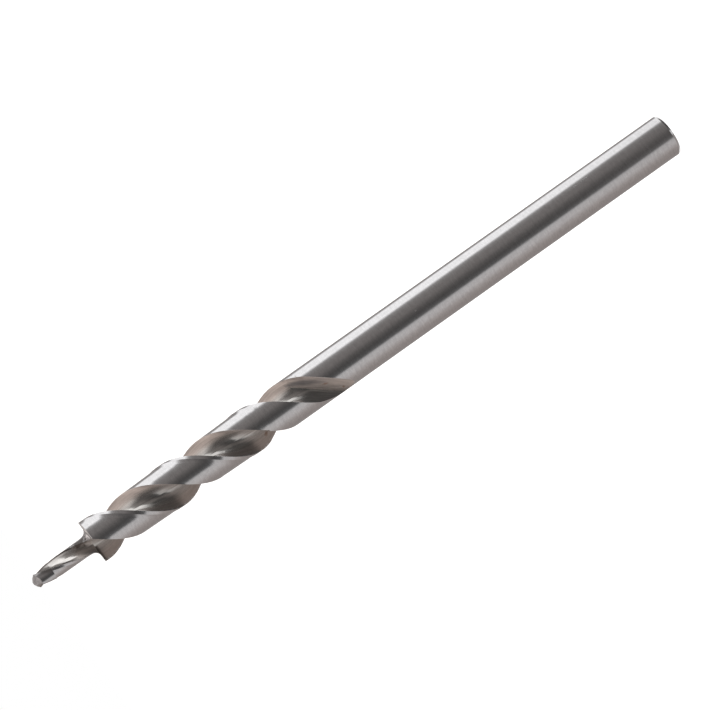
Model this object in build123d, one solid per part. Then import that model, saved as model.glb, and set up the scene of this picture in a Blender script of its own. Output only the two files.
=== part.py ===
from build123d import *
import os
from math import asin, atan, cos, degrees, pi, radians, sin, tan

# Stepped drill bit for pocket screws, ground from a single bar of high-speed steel.
# All sizes are in millimetres. The flat shank end is centred on the origin and the
# point looks along +Z. Angles run round +Z from +X, and at the counterbore shoulder
# the first lip lies along +X. The bit cuts clockwise seen from its shank.

# Lengths, each measured back from the point
overall_length = 160.0
pilot_length = 14.3         # to the flat counterbore shoulder
clearance_length = 56.0     # to the step down to shank size, where the margins end
flute_length = 67.9         # to where the flute wheel stops and lifts out

# Diameters
body_diameter = 9.5         # over the margins, the counterbore size
shank_diameter = 9.35
pilot_diameter = 4.0

# Flutes
flute_lead = 37.8           # travel along the axis for one full turn
flute_angle = 84.5          # width of a flute on the body, round the axis
web_thickness = 1.5         # core left between the two flutes
web_angle = 3.0             # the deepest line of a flute, past its middle
wheel_radius = 60.0         # grinding wheel, seen where a flute runs out

# Lands
margin_width = 0.9          # full-diameter strip behind each cutting edge
margin_step = 0.16          # drop from the margin to the cleared land
step_width = 1.1            # hollow slope that takes up this drop
heel_clearance = 0.30       # drop at the trailing edge of the land
clearance_end_radius = 6.0  # rounded end of the clearance, past the step
clearance_end_bow = 1.0     # how far that end runs into the shank
pilot_margin_width = 0.55
pilot_margin_step = 0.07
pilot_step_width = 0.55
pilot_heel_clearance = 0.10
pilot_plain_length = 4.5    # behind the point, before the clearance of the pilot starts

# Point and shoulder
point_angle = 118.0
lip_relief = 12.0           # fall of each flank behind its lip
heel_relief = 28.0          # steeper fall of its rear half
chisel_width = 0.4          # across the centre, after the notches that thin it
notch_reach = 1.1           # from the centre to where a notch meets the lip
notch_slope = 38.0          # fall of the notch floor, away from the centre
shoulder_relief = 2.0       # fall of the counterbore flanks behind their lips
root_fillet = 1.4           # between the pilot and the shoulder

# Shank end
shank_chamfer = 0.55

# Values worked out from the sizes above
lands = 2
body_radius = body_diameter / 2
shank_radius = shank_diameter / 2
pilot_radius = pilot_diameter / 2
web_radius = web_thickness / 2
shoulder_z = overall_length - pilot_length
clearance_start_z = overall_length - clearance_length
pilot_clearance_z = overall_length - pilot_plain_length
flute_stop_z = overall_length - flute_length
helix_angle = degrees(atan(pi * body_diameter / flute_lead))
tool_overlap = body_radius  # how far a cutting shape stands outside the bar


def polar(radius, angle):
    """A point in the plane across the axis, with its angle in degrees."""
    return Vector(radius * cos(radians(angle)), radius * sin(radians(angle)))


def lip_angle(z):
    """Where the cutting edge of the first land stands at a height."""
    return (z - shoulder_z) * 360 / flute_lead


def screwed(section, z_from, z_to):
    """A section drawn at the shoulder's phase, screwed along the axis between two heights."""
    start = Pos(0, 0, z_from) * Rot(0, 0, lip_angle(z_from)) * section
    rise = Vector(0, 0, z_to - z_from)
    turn = lip_angle(z_to) - lip_angle(z_from)
    return Solid.extrude_linear_with_rotation(start.face(), (0, 0, z_from), rise, turn)


def every_land(shape):
    """The same shape at each land."""
    return [Rot(0, 0, land * 360 / lands) * shape for land in range(lands)]


def root_flare():
    """The round flare that joins the pilot to the flat shoulder."""
    top = Vector(pilot_radius, shoulder_z + root_fillet)
    foot = Vector(pilot_radius + root_fillet, shoulder_z)
    flare = TangentArc(foot, top, tangent=(-1, 0))
    sides = Polyline(top, (0, shoulder_z + root_fillet), (0, shoulder_z), foot)
    return revolve(Plane.XZ * make_face([flare, sides]), Axis.Z)


def flute_profile():
    """Section of one flute across the axis, with its middle on +X.

    The face under the lip is straight and radial. An arc leads it round to the web, and
    a second arc rises from the web to the heel of the next land.
    """
    half = flute_angle / 2
    turn = radians(half + web_angle)
    face_radius = web_radius * sin(turn) / (1 - sin(turn))
    face_foot = (web_radius + face_radius) * cos(turn)
    reach = 2 * (body_radius * cos(radians(half - web_angle)) - web_radius)
    span = body_radius**2 + web_radius**2
    span -= 2 * body_radius * web_radius * cos(radians(half - web_angle))
    heel_radius = span / reach

    lip_out = polar(body_radius + tool_overlap, -half)
    lip_in = polar(face_foot, -half)
    web = polar(web_radius, web_angle)
    heel = polar(body_radius, half)
    face = Line(lip_out, lip_in)
    face_arc = TangentArc(lip_in, web, tangent=face % 1)
    heel_arc = TangentArc(web, heel, tangent=face_arc % 1)
    heel_out = heel + (heel_arc % 1) * tool_overlap
    closing = Polyline(heel, heel_out, lip_out)
    print(f"flute arcs: {face_radius:.2f} mm under the lip, {heel_radius:.2f} mm to the heel")
    return make_face([face, face_arc, heel_arc, closing])


def wheel_bite(flute):
    """What the flute wheel takes in the straight, where it stops and leaves the bar."""
    helix = radians(helix_angle)
    wheel_axis = Axis((web_radius + wheel_radius, 0, 0), (0, -cos(helix), sin(helix)))
    clear_run = body_diameter / sin(helix)
    bite = revolve(flute, wheel_axis, degrees(clear_run / wheel_radius))
    return Pos(0, 0, flute_stop_z) * bite


def clearance_profile(radius, width, step, slope_width, heel_drop):
    """What the clearance grinding takes off one land, from its margin past its heel."""
    land_angle = 360 / lands - flute_angle
    margin_edge = -degrees(width / radius)
    slope_foot = margin_edge - degrees(slope_width / radius)
    heel = -land_angle
    past_heel = heel - flute_angle / 4
    foot = polar(radius - step, slope_foot)
    middle = polar(radius - (step + heel_drop) / 2, (slope_foot + heel) / 2)
    outer = polar(radius - heel_drop, heel)
    land = ThreePointArc(foot, middle, outer)
    slope = TangentArc(foot, polar(radius, margin_edge), tangent=-(land % 0))
    run_off = Line(outer, polar(radius - heel_drop, past_heel))
    rim_radius = radius + tool_overlap
    rim = ThreePointArc(
        polar(rim_radius, past_heel),
        polar(rim_radius, (past_heel + margin_edge) / 2),
        polar(rim_radius, margin_edge),
    )
    sides = [Line(run_off @ 1, rim @ 0), Line(rim @ 1, slope @ 1)]
    return make_face([slope, land, run_off, sides[0], rim, sides[1]])


def clearance_end(ground):
    """The rounded end of the clearance on one land, which runs a little into the shank."""
    length = clearance_end_radius
    land_middle = lip_angle(clearance_start_z) - (360 / lands - flute_angle) / 2
    end = Rot(0, 0, land_middle) * Pos(0, 0, clearance_start_z + length - clearance_end_bow)
    end *= Rot(0, 90, 0) * Cylinder(length, 2 * body_diameter)
    pocket = screwed(ground, clearance_start_z - clearance_end_bow, clearance_start_z)
    return pocket & end


def lip_frame():
    """Axes at the point, with X along the first lip and Y ahead of it."""
    lip_offset = degrees(asin(web_radius / pilot_radius))
    corner_z = overall_length - pilot_radius / tan(radians(point_angle / 2))
    return Pos(0, 0, overall_length) * Rot(0, 0, lip_angle(corner_z) - lip_offset)


def point_flank(relief):
    """Cuts one flat facet behind a lip, falling outwards and back."""
    fall = 1 / tan(radians(point_angle / 2))
    facet = Plane((0, 0, 0), x_dir=(1, 0, -fall), z_dir=(fall, -tan(radians(relief)), 1))
    size = 4 * pilot_diameter
    above = facet * Box(size, size, size, align=(Align.CENTER, Align.CENTER, Align.MIN))
    return lip_frame() * above


def point_notch():
    """Cuts the notch ahead of one lip that carries it in to the short chisel edge."""
    centre = Vector(0, chisel_width / 2)
    turn = atan((web_radius - chisel_width / 2) / notch_reach)
    slope = radians(notch_slope)
    floor = Plane(
        centre,
        x_dir=(cos(turn) * cos(slope), sin(turn) * cos(slope), -sin(slope)),
        z_dir=(cos(turn) * sin(slope), sin(turn) * sin(slope), cos(slope)),
    )
    size = 2 * pilot_diameter
    notch = floor * Box(size, size, size, align=(Align.CENTER, Align.MIN, Align.MIN))
    return lip_frame() * notch


def shoulder_flank():
    """Cuts one flank of the flat shoulder, falling back from its lip."""
    size = 4 * body_diameter
    above = Rot(shoulder_relief, 0, 0) * Box(
        size, size, size, align=(Align.CENTER, Align.MAX, Align.MIN)
    )
    return Pos(0, 0, shoulder_z) * (above - Cylinder(pilot_radius + root_fillet, 2 * size))


def shank(flute):
    """The plain round shank with its end chamfer, and the flutes running out in it."""
    outline = Polyline(
        (0, 0),
        (shank_radius - shank_chamfer, 0),
        (shank_radius, shank_chamfer),
        (shank_radius, flute_stop_z),
        (0, flute_stop_z),
        close=True,
    )
    bar = revolve(Plane.XZ * make_face(outline), Axis.Z)
    bar -= every_land(wheel_bite(flute))
    return Rot(0, 0, lip_angle(flute_stop_z) + flute_angle / 2) * bar


def drill_bit():
    """The finished bit, from its shank to its point."""
    profile = flute_profile()
    flutes = every_land(Rot(0, 0, flute_angle / 2) * profile)
    ground = clearance_profile(
        body_radius, margin_width, margin_step, step_width, heel_clearance
    )
    pilot_ground = clearance_profile(
        pilot_radius, pilot_margin_width, pilot_margin_step, pilot_step_width, pilot_heel_clearance
    )
    neck = screwed(Circle(shank_radius) - flutes, flute_stop_z, clearance_start_z)
    neck -= every_land(clearance_end(ground))
    body_section = Circle(body_radius) - flutes - every_land(ground)
    body = screwed(body_section, clearance_start_z, shoulder_z)
    body -= every_land(shoulder_flank())

    fillet_z = shoulder_z + root_fillet
    root = screwed(Circle(pilot_radius + root_fillet) - flutes, shoulder_z, fillet_z)
    root &= root_flare()
    pilot_section = Circle(pilot_radius) - flutes
    pilot = screwed(pilot_section - every_land(pilot_ground), fillet_z, pilot_clearance_z)
    tip = screwed(pilot_section, pilot_clearance_z, overall_length)
    tip -= every_land(point_flank(lip_relief))
    tip -= every_land(point_flank(heel_relief))
    tip -= every_land(point_notch())
    return shank(profile) + neck + body + root + pilot + tip


os.makedirs("parts", exist_ok=True)
export_step(drill_bit(), "parts/drill_bit.step")
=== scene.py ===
import math

import bmesh
import bpy
from mathutils import Matrix, Vector


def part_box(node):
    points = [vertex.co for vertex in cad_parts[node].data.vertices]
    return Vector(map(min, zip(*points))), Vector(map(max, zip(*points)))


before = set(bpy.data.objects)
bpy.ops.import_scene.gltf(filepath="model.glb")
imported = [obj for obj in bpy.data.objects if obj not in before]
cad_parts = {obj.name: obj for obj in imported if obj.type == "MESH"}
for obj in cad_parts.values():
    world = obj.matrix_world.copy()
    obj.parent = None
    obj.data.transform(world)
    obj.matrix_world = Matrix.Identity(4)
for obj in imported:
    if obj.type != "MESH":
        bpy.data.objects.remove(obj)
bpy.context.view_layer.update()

# The photographer's camera: a long lens at about arm's length, a little above the middle
# of the bit. It is rolled so that the point lies at the lower left of the picture.
picture_size = 710
focal_length_px = 3347
camera_distance = 0.6795
aim_height = 0.0803
aim_aside = 0.00014
azimuth = math.radians(-10.0)
elevation = math.radians(9.6)
roll = math.radians(125.311)

level_right = Vector((math.cos(azimuth), math.sin(azimuth), 0))
towards_camera = Vector(
    (
        math.sin(azimuth) * math.cos(elevation),
        -math.cos(azimuth) * math.cos(elevation),
        math.sin(elevation),
    )
)
level_up = towards_camera.cross(level_right)
right = level_right * math.cos(roll) - level_up * math.sin(roll)
up = level_right * math.sin(roll) + level_up * math.cos(roll)
aim = Vector((0, 0, aim_height)) + level_right * aim_aside
camera_data = bpy.data.cameras.new("camera")
camera_data.sensor_width = 36.0
camera_data.lens = focal_length_px / picture_size * camera_data.sensor_width
camera_data.clip_start = 0.01
camera_data.clip_end = 20
camera = bpy.data.objects.new("camera", camera_data)
bpy.context.scene.collection.objects.link(camera)
orientation = Matrix((right, up, towards_camera)).transposed().to_4x4()
camera.matrix_world = Matrix.Translation(aim + towards_camera * camera_distance) @ orientation
bpy.context.scene.camera = camera
bpy.context.scene.view_settings.view_transform = "Standard"

# The studio, as the metal mirrors it: a tall softbox on the side of the bit's upper edge, a
# pale reflector on the other side, both leaning the same way, and the dark room behind the
# camera. A wide light hangs overhead, and grey flags stand beside the white backdrop.
lean = 0.42                       # degrees round the bit for each degree up
level_panels = [    # degrees round the bit from the camera, how bright, and how warm
    (-180, 0.60, 0.10),
    (-165, 0.40, 0.10),
    (-138, 0.40, 0.14),
    (-117, 0.43, 0.15),
    (-100, 0.48, 0.14),
    (-86, 0.56, 0.12),
    (-74, 0.66, 0.08),
    (-62, 0.75, 0.055),
    (-41, 0.73, 0.025),
    (-32, 0.16, 0.01),
    (-25, 0.125, 0.01),
    (-12, 0.095, 0.05),
    (5, 0.145, 0.08),
    (25, 0.25, 0.10),
    (46, 0.29, 0.09),
    (60, 0.36, 0.06),
    (65, 0.43, 0.05),
    (70, 0.66, 0.02),
    (78, 1.60, 0.0),
    (90, 1.52, 0.0),
    (121, 1.52, 0.0),
    (131, 0.42, 0.05),
    (140, 0.38, 0.08),
    (165, 0.40, 0.10),
    (180, 0.60, 0.10),
]
high_panels = [    # higher up, where the reflector fades and the softbox bends over
    (-180, 0.42, 0.10),
    (-120, 0.30, 0.12),
    (-80, 0.21, 0.12),
    (-10, 0.16, 0.08),
    (40, 0.15, 0.05),
    (62, 0.36, 0.08),
    (70, 0.75, 0.04),
    (78, 1.20, 0.02),
    (121, 1.15, 0.02),
    (131, 0.42, 0.08),
    (180, 0.42, 0.10),
]
low_panels = [    # below, where the table lies in the shade of the softbox
    (-180, 0.45, 0.10),
    (-120, 0.38, 0.14),
    (-30, 0.38, 0.14),
    (0, 0.22, 0.12),
    (20, 0.11, 0.06),
    (150, 0.12, 0.06),
    (180, 0.45, 0.10),
]
high_from, high_to = 6, 20                # degrees up
low_from, low_to = -14, -26
bend_from, bend = 13, 2.5                 # from this height up, the softbox leans this much more
overhead_from, overhead_to = 35, 43       # where the overhead light takes over
overhead_edge, overhead_drop = -62, 0.23  # past this angle it hangs lower by this much a degree
overhead_glow, overhead_warmth = 1.15, 0.11
zenith_from, zenith_to = 49, 58           # where the ceiling above it shows
zenith_glow, zenith_warmth = 0.55, 0.10
green_share = 0.7                         # of the warmth, what green loses with blue
smooth = {"interpolation_type": "SMOOTHSTEP"}


def node(tree, kind, settings=None, inputs=None):
    """Adds a node, sets its own settings, and fills its inputs with values or links."""
    made = tree.nodes.new(kind)
    for name, value in (settings or {}).items():
        setattr(made, name, value)
    for name, value in (inputs or {}).items():
        if isinstance(value, bpy.types.NodeSocket):
            tree.links.new(value, made.inputs[name])
        else:
            made.inputs[name].default_value = value
    return made


def tinted(brightness, warmth):
    """A light's colour. The warmer it is, the less green and the still less blue it has."""
    return (brightness, brightness * (1 - green_share * warmth), brightness * (1 - warmth), 1)


world = bpy.data.worlds.new("studio")
bpy.context.scene.world = world
world.use_nodes = True
studio = world.node_tree
studio.nodes.clear()
looking = node(studio, "ShaderNodeTexCoord").outputs["Generated"]
from_camera = node(
    studio,
    "ShaderNodeVectorRotate",
    {"rotation_type": "Z_AXIS"},
    {"Vector": looking, "Angle": -azimuth},
).outputs[0]
parts = node(studio, "ShaderNodeSeparateXYZ", None, {"Vector": from_camera})
ahead = node(
    studio, "ShaderNodeMath", {"operation": "MULTIPLY"}, {0: parts.outputs["Y"], 1: -1.0}
).outputs[0]
round_angle = node(
    studio, "ShaderNodeMath", {"operation": "ARCTAN2"}, {0: parts.outputs["X"], 1: ahead}
).outputs[0]
rise = node(studio, "ShaderNodeMath", {"operation": "ARCSINE"}, {0: parts.outputs["Z"]}).outputs[0]
leaning = node(
    studio, "ShaderNodeMath", {"operation": "MULTIPLY_ADD"}, {0: rise, 1: lean, 2: round_angle}
).outputs[0]
leaned = node(
    studio, "ShaderNodeMath", {"operation": "WRAP"}, {0: leaning, 1: math.pi, 2: -math.pi}
).outputs[0]
over_bend = node(
    studio, "ShaderNodeMath", {"operation": "SUBTRACT"}, {0: rise, 1: math.radians(bend_from)}
).outputs[0]
bending = node(studio, "ShaderNodeMath", {"operation": "MAXIMUM"}, {0: over_bend, 1: 0.0}).outputs[0]
bent = node(
    studio, "ShaderNodeMath", {"operation": "MULTIPLY_ADD"}, {0: bending, 1: bend, 2: leaned}
).outputs[0]


def ring(angle, stops):
    """The panels at one height, all the way round."""
    inputs = {"Value": angle, "From Min": -math.pi, "From Max": math.pi}
    share = node(studio, "ShaderNodeMapRange", None, inputs)
    bands = node(studio, "ShaderNodeValToRGB", None, {"Fac": share.outputs[0]})
    ramp = bands.color_ramp
    while len(ramp.elements) < len(stops):
        ramp.elements.new(1.0)
    for element, (degrees_round, brightness, warmth) in zip(ramp.elements, stops):
        element.position = (degrees_round + 180) / 360
        element.color = tinted(brightness, warmth)
    return bands.outputs["Color"]


def stacked(lower, upper, start, end, height=rise):
    """Goes from the lower panels to the upper ones between two heights in degrees."""
    inputs = {"Value": height, "From Min": math.radians(start), "From Max": math.radians(end)}
    share = node(studio, "ShaderNodeMapRange", smooth, inputs)
    mix_inputs = {"Factor": share.outputs[0], 6: lower, 7: upper}
    return node(studio, "ShaderNodeMix", {"data_type": "RGBA"}, mix_inputs).outputs[2]


room = stacked(ring(leaned, level_panels), ring(bent, high_panels), high_from, high_to)
room = stacked(room, ring(leaned, low_panels), low_from, low_to)
past_edge = node(
    studio,
    "ShaderNodeMath",
    {"operation": "SUBTRACT"},
    {0: math.radians(overhead_edge), 1: round_angle},
).outputs[0]
dropping = node(studio, "ShaderNodeMath", {"operation": "MAXIMUM"}, {0: past_edge, 1: 0.0}).outputs[0]
overhead_height = node(
    studio,
    "ShaderNodeMath",
    {"operation": "MULTIPLY_ADD"},
    {0: dropping, 1: overhead_drop, 2: rise},
).outputs[0]
overhead = tinted(overhead_glow, overhead_warmth)
room = stacked(room, overhead, overhead_from, overhead_to, overhead_height)
room = stacked(room, tinted(zenith_glow, zenith_warmth), zenith_from, zenith_to)

# The backdrop is a sheet of white card, hung behind the bit and swept down into the floor. It
# is plain white to the camera, and also in the metal, where it stands low behind the bit.
backdrop_edge, backdrop_full = 164, 172   # degrees round from the camera
backdrop_top, backdrop_solid = 7, 2       # degrees up
rays = node(studio, "ShaderNodeLightPath")
mirrored = node(
    studio,
    "ShaderNodeMath",
    {"operation": "MAXIMUM"},
    {0: rays.outputs["Is Glossy Ray"], 1: rays.outputs["Is Transmission Ray"]},
).outputs[0]
backdrop_height = node(
    studio,
    "ShaderNodeMapRange",
    smooth,
    {
        "Value": rise,
        "From Min": math.radians(backdrop_top),
        "From Max": math.radians(backdrop_solid),
        "To Max": mirrored,
    },
).outputs[0]
aside = node(studio, "ShaderNodeMath", {"operation": "ABSOLUTE"}, {0: round_angle}).outputs[0]
backdrop = node(
    studio,
    "ShaderNodeMapRange",
    smooth,
    {
        "Value": aside,
        "From Min": math.radians(backdrop_edge),
        "From Max": math.radians(backdrop_full),
        "To Max": backdrop_height,
    },
).outputs[0]
shown_white = node(
    studio, "ShaderNodeMath", {"operation": "MAXIMUM"}, {0: rays.outputs["Is Camera Ray"], 1: backdrop}
).outputs[0]
lit = node(studio, "ShaderNodeBackground", None, {"Color": room}).outputs[0]
white = node(studio, "ShaderNodeBackground", None, {"Color": (1, 1, 1, 1)}).outputs[0]
around = node(studio, "ShaderNodeMixShader", None, {"Fac": shown_white, 1: lit, 2: white}).outputs[0]
node(studio, "ShaderNodeOutputWorld", None, {"Surface": around})

# The overhead lamp is a wide soft disc on the camera's side, so that the bit's shadow falls
# behind it. The metal mirrors the studio's own overhead light, and not this lamp as well.
lamp_size = 0.6
lamp_power = 8
lamp_distance = 0.6
lamp_height = 1.0
lamp_aim = Vector((0, 0, 0.05))
lamp_data = bpy.data.lights.new("overhead_lamp", "AREA")
lamp_data.shape = "DISK"
lamp_data.size = lamp_size
lamp_data.energy = lamp_power
lamp = bpy.data.objects.new("overhead_lamp", lamp_data)
bpy.context.scene.collection.objects.link(lamp)
lamp.visible_glossy = False
lamp.location = (math.sin(azimuth) * lamp_distance, -math.cos(azimuth) * lamp_distance, lamp_height)
lamp.rotation_euler = (lamp_aim - lamp.location).to_track_quat("-Z", "Y").to_euler()

# The floor is a matt sheet of white card. Its own glow stands for the light of the white room
# round it, and the lamp's light on it leaves room for the bit's soft shadow.
floor_reach = 3.0
floor_glow = 0.68
card_colour = "E8E8E8"


def linear(hex_colour):
    """An sRGB colour such as C8C6C2 as the linear values that Blender takes."""
    values = [int(hex_colour[i : i + 2], 16) / 255 for i in (0, 2, 4)]
    return [v / 12.92 if v <= 0.04045 else ((v + 0.055) / 1.055) ** 2.4 for v in values] + [1.0]


card = bpy.data.materials.new("white_card")
card.use_nodes = True
card_tree = card.node_tree
card_tree.nodes.clear()
matt = node(card_tree, "ShaderNodeBsdfDiffuse", None, {"Color": linear(card_colour)}).outputs[0]
glow = node(card_tree, "ShaderNodeEmission", None, {"Color": (1, 1, 1, 1), "Strength": floor_glow})
glowing = node(card_tree, "ShaderNodeAddShader", None, {0: matt, 1: glow.outputs[0]}).outputs[0]
to_camera = node(card_tree, "ShaderNodeLightPath").outputs["Is Camera Ray"]
sheet = node(card_tree, "ShaderNodeMixShader", None, {"Fac": to_camera, 1: matt, 2: glowing}).outputs[0]
node(card_tree, "ShaderNodeOutputMaterial", None, {"Surface": sheet})

floor_mesh = bmesh.new()
bmesh.ops.create_grid(floor_mesh, x_segments=1, y_segments=1, size=floor_reach)
floor_data = bpy.data.meshes.new("floor")
floor_mesh.to_mesh(floor_data)
floor_mesh.free()
floor_data.materials.append(card)
floor = bpy.data.objects.new("floor", floor_data)
bpy.context.scene.collection.objects.link(floor)
floor.visible_glossy = False

# The drill bit is one bar of high-speed steel, hardened and then ground all over. Its
# shank and lands are ground bright on a cylindrical grinder, which leaves fine rings. The
# flutes are ground by a profiled wheel that leaves lines along them and a thin brown film.
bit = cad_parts["drill_bit"]
lowest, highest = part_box("drill_bit")
point_z = highest[2]
body_diameter = highest[0] - lowest[0]
pilot_length = 0.0143             # this and the next three are measured back from the point
clearance_length = 0.0560
flute_length = 0.0679
plain_end_length = 0.0045         # of the pilot, where its lands have no clearance
flute_lead = 0.0378
flute_angle = 84.5                # degrees round the body
shoulder_z = point_z - pilot_length
clearance_start_z = point_z - clearance_length
flute_stop_z = point_z - flute_length
land_radius = 0.00440             # what lies nearer the axis than this is in a flute
shank_land_radius = 0.00465
pilot_land_radius = 0.00178
clearance_end_length = 0.0015     # the ends of the clearance run into the shank by less than this
run_out_length = 0.012            # the flutes end within this, past where the wheel stops
facet_facing = 0.72               # the facets of the point and the shoulder face up more than this
end_facing = -0.5                 # and the shank end faces up less than this
heel_gap = 0.03                   # the part of a half turn beside the heel that is told by radius
pilot_start_z = shoulder_z + 0.0001

steel = bpy.data.materials.new("ground_high_speed_steel")
steel.use_nodes = True
tree = steel.node_tree
tree.nodes.clear()
place = node(tree, "ShaderNodeTexCoord")
point = place.outputs["Object"]
normal = place.outputs["Normal"]
xyz = node(tree, "ShaderNodeSeparateXYZ", None, {"Vector": point})
height = xyz.outputs["Z"]
off_axis = node(
    tree, "ShaderNodeCombineXYZ", None, {"X": xyz.outputs["X"], "Y": xyz.outputs["Y"]}
).outputs[0]
radius = node(tree, "ShaderNodeVectorMath", {"operation": "LENGTH"}, {0: off_axis}).outputs["Value"]
round_axis = node(
    tree, "ShaderNodeMath", {"operation": "ARCTAN2"}, {0: xyz.outputs["Y"], 1: xyz.outputs["X"]}
).outputs[0]
half_turns = node(
    tree, "ShaderNodeMath", {"operation": "DIVIDE"}, {0: round_axis, 1: math.pi}
).outputs[0]
from_shoulder = node(
    tree, "ShaderNodeMath", {"operation": "SUBTRACT"}, {0: height, 1: shoulder_z}
).outputs[0]
unscrewed_turns = node(
    tree,
    "ShaderNodeMath",
    {"operation": "MULTIPLY_ADD"},
    {0: from_shoulder, 1: -2 / flute_lead, 2: half_turns},
).outputs[0]
phase = node(tree, "ShaderNodeMath", {"operation": "FRACT"}, {0: unscrewed_turns}).outputs[0]
on_pilot = node(
    tree, "ShaderNodeMath", {"operation": "GREATER_THAN"}, {0: height, 1: pilot_start_z}
).outputs[0]

# Where the flutes are: nearer the axis than the lands, or between two lands by the angle.
# The flat facets that face the point aren't part of them.
on_body = node(
    tree,
    "ShaderNodeMath",
    {"operation": "GREATER_THAN"},
    {0: height, 1: clearance_start_z - clearance_end_length},
).outputs[0]
body_limit = node(
    tree, "ShaderNodeMix", {"data_type": "FLOAT"}, {0: on_body, 2: shank_land_radius, 3: land_radius}
).outputs[0]
limit = node(
    tree, "ShaderNodeMix", {"data_type": "FLOAT"}, {0: on_pilot, 2: body_limit, 3: pilot_land_radius}
).outputs[0]
inside = node(tree, "ShaderNodeMath", {"operation": "LESS_THAN"}, {0: radius, 1: limit}).outputs[0]
between_lands = node(
    tree, "ShaderNodeMath", {"operation": "LESS_THAN"}, {0: phase, 1: flute_angle / 180 - heel_gap}
).outputs[0]
cut = node(tree, "ShaderNodeMath", {"operation": "MAXIMUM"}, {0: inside, 1: between_lands}).outputs[0]
fluted = node(
    tree, "ShaderNodeMath", {"operation": "GREATER_THAN"}, {0: height, 1: flute_stop_z}
).outputs[0]
hollow = node(tree, "ShaderNodeMix", {"data_type": "FLOAT"}, {0: fluted, 2: inside, 3: cut}).outputs[0]
past_run_out = node(
    tree, "ShaderNodeMath", {"operation": "GREATER_THAN"}, {0: height, 1: flute_stop_z - run_out_length}
).outputs[0]
facing_up = node(tree, "ShaderNodeSeparateXYZ", None, {"Vector": normal}).outputs["Z"]
facet = node(
    tree, "ShaderNodeMath", {"operation": "GREATER_THAN"}, {0: facing_up, 1: facet_facing}
).outputs[0]
not_facet = node(
    tree, "ShaderNodeMath", {"operation": "SUBTRACT"}, {0: past_run_out, 1: facet}
).outputs[0]
in_flute = node(
    tree, "ShaderNodeMath", {"operation": "MULTIPLY", "use_clamp": True}, {0: hollow, 1: not_facet}
).outputs[0]

# The wheel stops turning round the bit where it lifts out, and from there its path is straight.
# The side of that path towards the heel is left dull. Further up, the flutes are bright along
# the web and dull away from it, and those of the pilot are bright near the point.
heel_side_from, heel_side_full = -0.00005, 0.00015    # across the path, from its middle
web_bright_to, web_dull_from = 0.0010, 0.0034         # from the axis
pilot_bright_to, pilot_dull_from = 0.0092, 0.0110     # back from the point
straight_to_z = flute_stop_z + 0.003                  # the straight path bites up to here
helix = math.atan(math.pi * body_diameter / flute_lead)
stop_turn = (flute_stop_z - shoulder_z) * 2 * math.pi / flute_lead + math.radians(flute_angle / 2)
at_stop = node(
    tree, "ShaderNodeVectorRotate", {"rotation_type": "Z_AXIS"}, {"Vector": point, "Angle": -stop_turn}
).outputs[0]
stop_xyz = node(tree, "ShaderNodeSeparateXYZ", None, {"Vector": at_stop})
which_flute = node(tree, "ShaderNodeMath", {"operation": "SIGN"}, {0: stop_xyz.outputs["X"]}).outputs[0]
across = node(
    tree, "ShaderNodeMath", {"operation": "MULTIPLY"}, {0: stop_xyz.outputs["Y"], 1: which_flute}
).outputs[0]
before_stop = node(
    tree, "ShaderNodeMath", {"operation": "SUBTRACT"}, {0: flute_stop_z, 1: height}
).outputs[0]
along = node(
    tree, "ShaderNodeMath", {"operation": "MULTIPLY"}, {0: before_stop, 1: math.tan(helix)}
).outputs[0]
off_path = node(tree, "ShaderNodeMath", {"operation": "ADD"}, {0: across, 1: along}).outputs[0]
heel_side = node(
    tree,
    "ShaderNodeMapRange",
    smooth,
    {"Value": off_path, "From Min": heel_side_from, "From Max": heel_side_full},
).outputs[0]
away_from_web = node(
    tree,
    "ShaderNodeMapRange",
    smooth,
    {"Value": radius, "From Min": web_bright_to, "From Max": web_dull_from},
).outputs[0]
behind_point = node(
    tree,
    "ShaderNodeMapRange",
    smooth,
    {
        "Value": height,
        "From Min": point_z - pilot_bright_to,
        "From Max": point_z - pilot_dull_from,
    },
).outputs[0]
dull_flute = node(
    tree, "ShaderNodeMix", {"data_type": "FLOAT"}, {0: on_pilot, 2: away_from_web, 3: behind_point}
).outputs[0]
turning = node(
    tree, "ShaderNodeMath", {"operation": "GREATER_THAN"}, {0: height, 1: straight_to_z}
).outputs[0]
dull = node(
    tree, "ShaderNodeMix", {"data_type": "FLOAT"}, {0: turning, 2: heel_side, 3: dull_flute}
).outputs[0]

# A darker streak of painted shade lies along the dull side of the run-out and fades towards its end.
streak_slant = -0.25              # how far it moves across the path for each length down the bit
streak_offset = 0.0016
streak_edge, streak_core = 0.0010, 0.0002
streak_length = 0.0062
streak_rim, streak_full = 0.0038, 0.0028    # from the axis
streak_place = node(
    tree,
    "ShaderNodeMath",
    {"operation": "MULTIPLY_ADD"},
    {0: before_stop, 1: streak_slant, 2: off_path},
).outputs[0]
off_streak = node(
    tree, "ShaderNodeMath", {"operation": "SUBTRACT"}, {0: streak_place, 1: streak_offset}
).outputs[0]
streak_distance = node(tree, "ShaderNodeMath", {"operation": "ABSOLUTE"}, {0: off_streak}).outputs[0]
in_streak = node(
    tree,
    "ShaderNodeMapRange",
    smooth,
    {"Value": streak_distance, "From Min": streak_edge, "From Max": streak_core},
).outputs[0]
fading = node(
    tree,
    "ShaderNodeMapRange",
    smooth,
    {"Value": before_stop, "From Min": streak_length, "From Max": 0.0},
).outputs[0]
near_web = node(
    tree,
    "ShaderNodeMapRange",
    smooth,
    {"Value": radius, "From Min": streak_rim, "From Max": streak_full, "To Max": fading},
).outputs[0]
streak_shade = node(
    tree, "ShaderNodeMath", {"operation": "MULTIPLY"}, {0: in_streak, 1: near_web}
).outputs[0]

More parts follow.
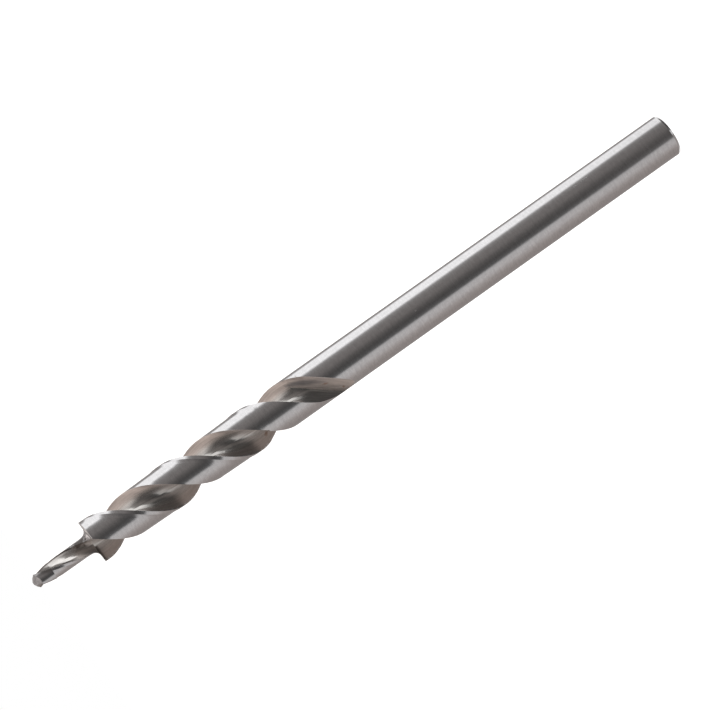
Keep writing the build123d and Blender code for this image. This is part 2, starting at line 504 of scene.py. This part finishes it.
# Grinding marks: broken rings round the lands and the shank, and lines along the flutes. The
# real ones are a few hundredths of a millimetre apart, and are drawn as coarse as it takes to
# show them. A blotchy tone lies over both.
per_mm = 1000
ring_marks = (0.5 * per_mm, 0.5 * per_mm, 2.4 * per_mm)       # 0.4 mm wide and 2 mm long
flute_marks = (2.6 * per_mm, 2.6 * per_mm, 0.16 * per_mm)     # 0.4 mm wide and 6 mm long
run_out_marks = (1.2 * per_mm, 4.2 * per_mm, 0.22 * per_mm)   # 0.2 mm wide and 4.5 mm long
blotch_marks = (1.3 * per_mm, 1.3 * per_mm, 1.3 * per_mm)     # 0.8 mm across
noise_low, noise_high = 0.3, 0.7                              # where most of the noise lies
noise_roughness = 0.6
line_faint, line_strong = 0.86, 1.12
unscrew_angle = node(
    tree, "ShaderNodeMath", {"operation": "MULTIPLY"}, {0: from_shoulder, 1: -2 * math.pi / flute_lead}
).outputs[0]
unscrewed = node(
    tree,
    "ShaderNodeVectorRotate",
    {"rotation_type": "Z_AXIS"},
    {"Vector": point, "Angle": unscrew_angle},
).outputs[0]
along_path = node(
    tree, "ShaderNodeVectorRotate", {"rotation_type": "X_AXIS"}, {"Vector": at_stop, "Angle": helix}
).outputs[0]
patterns = {}
for name, vector, marks_per_metre, detail in (
    ("rings", point, ring_marks, 3),
    ("flute_lines", unscrewed, flute_marks, 2),
    ("run_out_lines", along_path, run_out_marks, 3),
    ("blotches", point, blotch_marks, 3),
):
    spread = node(tree, "ShaderNodeMapping", None, {"Vector": vector, "Scale": marks_per_metre})
    inputs = {"Vector": spread.outputs[0], "Scale": 1.0, "Detail": detail, "Roughness": noise_roughness}
    patterns[name] = node(tree, "ShaderNodeTexNoise", None, inputs).outputs[0]

tones = {}
for name, pattern, faint, strong in (
    ("rings", "rings", 0.95, 1.05),
    ("run_out_lines", "run_out_lines", 0.18, 0.76),
    ("blotches", "blotches", 0.95, 1.04),
    ("facet_blotches", "blotches", 0.62, 1.30),
    ("ragged_edge", "blotches", 0.55, 1.5),
):
    tones[name] = node(
        tree,
        "ShaderNodeMapRange",
        None,
        {
            "Value": patterns[pattern],
            "From Min": noise_low,
            "From Max": noise_high,
            "To Min": faint,
            "To Max": strong,
        },
    ).outputs[0]

lines = node(
    tree,
    "ShaderNodeMix",
    {"data_type": "FLOAT"},
    {0: turning, 2: tones["run_out_lines"], 3: patterns["flute_lines"]},
).outputs[0]
line_tone = node(
    tree,
    "ShaderNodeMapRange",
    None,
    {
        "Value": lines,
        "From Min": noise_low,
        "From Max": noise_high,
        "To Min": line_faint,
        "To Max": line_strong,
    },
).outputs[0]
marks = node(
    tree, "ShaderNodeMix", {"data_type": "FLOAT"}, {0: in_flute, 2: tones["rings"], 3: line_tone}
).outputs[0]
blotchy = node(
    tree,
    "ShaderNodeMix",
    {"data_type": "FLOAT"},
    {0: facet, 2: tones["blotches"], 3: tones["facet_blotches"]},
).outputs[0]
shade = node(tree, "ShaderNodeMath", {"operation": "MULTIPLY"}, {0: marks, 1: blotchy}).outputs[0]

# The colours of the bare steel, from the bright lands to the dull side of a flute, and the darker grey
# of the painted shade in the run-out's streak.
land_colour = "C4C3C4"
bright_flute = "B4B1AE"
bright_pilot_flute = "C8C5C2"
dull_side = "B5ACA6"
streak_shade_colour = "888483"
# The dull side takes the darker grey where the streak of painted shade lies.
dull_colour = node(
    tree,
    "ShaderNodeMix",
    {"data_type": "RGBA"},
    {"Factor": streak_shade, 6: linear(dull_side), 7: linear(streak_shade_colour)},
).outputs[2]
bright_colour = node(
    tree,
    "ShaderNodeMix",
    {"data_type": "RGBA"},
    {"Factor": on_pilot, 6: linear(bright_flute), 7: linear(bright_pilot_flute)},
).outputs[2]
flute_colour = node(
    tree, "ShaderNodeMix", {"data_type": "RGBA"}, {"Factor": dull, 6: bright_colour, 7: dull_colour}
).outputs[2]
bare_colour = node(
    tree,
    "ShaderNodeMix",
    {"data_type": "RGBA"},
    {"Factor": in_flute, 6: linear(land_colour), 7: flute_colour},
).outputs[2]
shaded = node(
    tree, "ShaderNodeVectorMath", {"operation": "SCALE"}, {0: bare_colour, "Scale": shade}
).outputs[0]

# Small stains of rust in the flutes, three light scuffs on the shank, and painted shade on one
# land near the pilot's root. Each is a ragged spot.
rust_colour = "7E5638"
rust_strength = 0.5
stain_spots = [    # its middle, its radius, and how much it is narrowed along X, Y and Z
    ((-0.00218, 0.00148, 0.10425), 0.00065, (1, 1, 1)),
    ((-0.00380, -0.00013, 0.08610), 0.00036, (1, 1, 1)),
    ((-0.00128, -0.00085, 0.08880), 0.00050, (1, 1.6, 0.5)),
]
scuff_spots = [
    ((0.00163, -0.00437, 0.02330), 0.00020, (1, 1, 0.25)),
    ((0.00172, -0.00434, 0.02080), 0.00018, (1, 1, 0.12)),
    ((-0.00040, -0.00465, 0.06567), 0.00018, (1, 1, 0.6)),
]
root_shade_spots = [((0.00125, -0.00145, 0.14790), 0.00230, (1.7, 1.7, 0.9))]
spot_core = 0.35                  # of its radius, the part at full strength


def spotted(spots):
    """1 in the middle of each spot, and 0 past its ragged edge."""
    strongest = 0.0
    for middle, size, narrowing in spots:
        moved = node(tree, "ShaderNodeVectorMath", {"operation": "SUBTRACT"}, {0: point, 1: middle})
        narrowed = node(
            tree, "ShaderNodeVectorMath", {"operation": "MULTIPLY"}, {0: moved.outputs[0], 1: narrowing}
        )
        distance = node(tree, "ShaderNodeVectorMath", {"operation": "LENGTH"}, {0: narrowed.outputs[0]})
        ragged = node(
            tree,
            "ShaderNodeMath",
            {"operation": "MULTIPLY"},
            {0: distance.outputs["Value"], 1: tones["ragged_edge"]},
        )
        inputs = {"Value": ragged.outputs[0], "From Min": size, "From Max": size * spot_core}
        one_spot = node(tree, "ShaderNodeMapRange", smooth, inputs).outputs[0]
        strongest = node(
            tree, "ShaderNodeMath", {"operation": "MAXIMUM"}, {0: strongest, 1: one_spot}
        ).outputs[0]
    return strongest


scuffed = spotted(scuff_spots)
# A dark patch of painted shade on a land of the pilot, by its root.
root_shade = spotted(root_shade_spots)
stained = node(
    tree, "ShaderNodeMath", {"operation": "MULTIPLY"}, {0: spotted(stain_spots), 1: rust_strength}
).outputs[0]
rusty = node(
    tree,
    "ShaderNodeMix",
    {"data_type": "RGBA"},
    {"Factor": stained, 6: shaded, 7: linear(rust_colour)},
).outputs[2]

# Painted shade: a dark colour on the pilot lies along the heel edges, on the faces under the lips and on
# the plain end, most of all near the lips. On the body it lies at the top, under the shoulder's
# lips. How far round it lies is told in half turns from the middle between two lips.
painted_shade_colour = "4A423D"
painted_shade_strength = 0.85
heel_shade_from, heel_shade_full = 0.00148, 0.00170   # from the axis
heel_turn_from, heel_turn_full = 0.075, 0.055
lip_turn = 0.465
margin_turn_from, margin_turn_full = 0.33, 0.45
margin_shade_low, margin_shade_high = 0.1, 0.75
plain_flute_shade = 0.4
tip_length = 0.0030               # at the point, where the faces under the lips get no painted shade
corner_from, corner_full = -0.0007, -0.0001         # from the shoulder
past_middle = node(tree, "ShaderNodeMath", {"operation": "SUBTRACT"}, {0: phase, 1: 0.5}).outputs[0]
from_middle = node(tree, "ShaderNodeMath", {"operation": "ABSOLUTE"}, {0: past_middle}).outputs[0]
by_lip = node(
    tree, "ShaderNodeMath", {"operation": "GREATER_THAN"}, {0: from_middle, 1: lip_turn}
).outputs[0]
lip_face = node(tree, "ShaderNodeMath", {"operation": "MULTIPLY"}, {0: by_lip, 1: inside}).outputs[0]
heel_edge = node(
    tree,
    "ShaderNodeMapRange",
    smooth,
    {"Value": radius, "From Min": heel_shade_from, "From Max": heel_shade_full},
).outputs[0]
by_heel = node(
    tree,
    "ShaderNodeMapRange",
    smooth,
    {
        "Value": from_middle,
        "From Min": heel_turn_from,
        "From Max": heel_turn_full,
        "To Max": heel_edge,
    },
).outputs[0]
at_point = node(
    tree, "ShaderNodeMath", {"operation": "GREATER_THAN"}, {0: height, 1: point_z - tip_length}
).outputs[0]
lip_shade = node(
    tree, "ShaderNodeMix", {"data_type": "FLOAT"}, {0: at_point, 2: lip_face, 3: 0.0}
).outputs[0]
both_edges = node(tree, "ShaderNodeMath", {"operation": "MAXIMUM"}, {0: by_heel, 1: lip_shade}).outputs[0]
edge_shade = node(
    tree, "ShaderNodeMix", {"data_type": "FLOAT"}, {0: behind_point, 2: both_edges, 3: 0.0}
).outputs[0]
margin_top = node(
    tree,
    "ShaderNodeMix",
    {"data_type": "FLOAT"},
    {0: facet, 2: margin_shade_high, 3: margin_shade_low},
).outputs[0]
margin_shade = node(
    tree,
    "ShaderNodeMapRange",
    smooth,
    {
        "Value": from_middle,
        "From Min": margin_turn_from,
        "From Max": margin_turn_full,
        "To Min": margin_shade_low,
        "To Max": margin_top,
    },
).outputs[0]
plain_end = node(
    tree, "ShaderNodeMath", {"operation": "GREATER_THAN"}, {0: height, 1: point_z - plain_end_length}
).outputs[0]
plain_shade = node(
    tree, "ShaderNodeMix", {"data_type": "FLOAT"}, {0: in_flute, 2: margin_shade, 3: plain_flute_shade}
).outputs[0]
end_shade = node(
    tree, "ShaderNodeMix", {"data_type": "FLOAT"}, {0: plain_end, 2: 0.0, 3: plain_shade}
).outputs[0]
pilot_shade = node(
    tree, "ShaderNodeMath", {"operation": "MAXIMUM"}, {0: edge_shade, 1: end_shade}
).outputs[0]
corner_shade = node(
    tree,
    "ShaderNodeMapRange",
    smooth,
    {"Value": from_shoulder, "From Min": corner_from, "From Max": corner_full, "To Max": lip_face},
).outputs[0]
own_shade = node(
    tree, "ShaderNodeMix", {"data_type": "FLOAT"}, {0: on_pilot, 2: corner_shade, 3: pilot_shade}
).outputs[0]
painted_shade = node(tree, "ShaderNodeMath", {"operation": "MAXIMUM"}, {0: own_shade, 1: root_shade}).outputs[0]
painted_shade_amount = node(
    tree, "ShaderNodeMath", {"operation": "MULTIPLY"}, {0: painted_shade, 1: painted_shade_strength}
).outputs[0]
# The steel's colour goes towards the dark grey of the painted shade.
colour = node(
    tree,
    "ShaderNodeMix",
    {"data_type": "RGBA"},
    {"Factor": painted_shade_amount, 6: rusty, 7: linear(painted_shade_colour)},
).outputs[2]

# The way the surface faces. The shank is a true cylinder, so there it faces straight away from
# the axis. The real pilot's flutes and plain end seem to lean further round than the modelled
# ones do, so their shading is turned by that much.
flute_lean = math.radians(15)
plain_end_lean = math.radians(9)
round_to_z = clearance_start_z - 0.0011
relieved_from_z = clearance_start_z + 0.0004
outward = node(tree, "ShaderNodeVectorMath", {"operation": "NORMALIZE"}, {0: off_axis}).outputs[0]
shank_end = node(
    tree, "ShaderNodeMath", {"operation": "LESS_THAN"}, {0: facing_up, 1: end_facing}
).outputs[0]
past_shank = node(
    tree,
    "ShaderNodeMapRange",
    smooth,
    {"Value": height, "From Min": round_to_z, "From Max": relieved_from_z},
).outputs[0]
end_or_body = node(
    tree, "ShaderNodeMath", {"operation": "MAXIMUM"}, {0: shank_end, 1: past_shank}
).outputs[0]
not_round = node(
    tree, "ShaderNodeMath", {"operation": "MAXIMUM"}, {0: end_or_body, 1: in_flute}
).outputs[0]
faced = node(
    tree, "ShaderNodeMix", {"data_type": "VECTOR"}, {0: not_round, 4: outward, 5: normal}
).outputs[1]
lean_angle = node(
    tree, "ShaderNodeMix", {"data_type": "FLOAT"}, {0: in_flute, 2: plain_end_lean, 3: flute_lean}
).outputs[0]
leaned_over = node(
    tree, "ShaderNodeVectorRotate", {"rotation_type": "Z_AXIS"}, {"Vector": normal, "Angle": lean_angle}
).outputs[0]
flute_or_end = node(
    tree, "ShaderNodeMath", {"operation": "MAXIMUM"}, {0: in_flute, 1: plain_end}
).outputs[0]
not_tip = node(tree, "ShaderNodeMath", {"operation": "SUBTRACT"}, {0: on_pilot, 1: facet}).outputs[0]
leaning_part = node(
    tree, "ShaderNodeMath", {"operation": "MULTIPLY", "use_clamp": True}, {0: not_tip, 1: flute_or_end}
).outputs[0]
all_faced = node(
    tree, "ShaderNodeMix", {"data_type": "VECTOR"}, {0: leaning_part, 4: faced, 5: leaned_over}
).outputs[1]
world_normal = node(
    tree,
    "ShaderNodeVectorTransform",
    {"vector_type": "NORMAL", "convert_from": "OBJECT", "convert_to": "WORLD"},
    {0: all_faced},
).outputs[0]

# The grinding marks are shallow scratches. The lands are the smoothest, then the bright sides
# of the flutes. The dull sides are rougher, most of all in the run-out, and so are the worn spots
# and the patch of painted shade at the pilot's root.
deep_mark, shallow_mark = 3e-6, 1e-6
land_roughness = 0.16
bright_roughness = 0.18
run_out_roughness = 0.48
dull_roughness = 0.30
worn_roughness = 0.55
marked = node(
    tree, "ShaderNodeMix", {"data_type": "FLOAT"}, {0: in_flute, 2: patterns["rings"], 3: lines}
).outputs[0]
flute_depth = node(
    tree, "ShaderNodeMix", {"data_type": "FLOAT"}, {0: dull, 2: shallow_mark, 3: deep_mark}
).outputs[0]
mark_depth = node(
    tree, "ShaderNodeMix", {"data_type": "FLOAT"}, {0: in_flute, 2: deep_mark, 3: flute_depth}
).outputs[0]
scratched = node(
    tree,
    "ShaderNodeBump",
    None,
    {"Height": marked, "Distance": mark_depth, "Strength": 1.0, "Normal": world_normal},
).outputs[0]
dull_finish = node(
    tree,
    "ShaderNodeMix",
    {"data_type": "FLOAT"},
    {0: turning, 2: run_out_roughness, 3: dull_roughness},
).outputs[0]
flute_finish = node(
    tree, "ShaderNodeMix", {"data_type": "FLOAT"}, {0: dull, 2: bright_roughness, 3: dull_finish}
).outputs[0]
ground_finish = node(
    tree, "ShaderNodeMix", {"data_type": "FLOAT"}, {0: in_flute, 2: land_roughness, 3: flute_finish}
).outputs[0]
stain_or_scuff = node(
    tree, "ShaderNodeMath", {"operation": "MAXIMUM"}, {0: stained, 1: scuffed}
).outputs[0]
worn_and_root_shade = node(
    tree, "ShaderNodeMath", {"operation": "MAXIMUM"}, {0: stain_or_scuff, 1: root_shade}
).outputs[0]
roughness = node(
    tree, "ShaderNodeMix", {"data_type": "FLOAT"}, {0: worn_and_root_shade, 2: ground_finish, 3: worn_roughness}
).outputs[0]
surface = node(
    tree,
    "ShaderNodeBsdfPrincipled",
    None,
    {"Base Color": colour, "Metallic": 1.0, "Roughness": roughness, "Normal": scratched},
).outputs[0]
node(tree, "ShaderNodeOutputMaterial", None, {"Surface": surface})
bit.data.materials.clear()
bit.data.materials.append(steel)
bit.visible_glossy = False
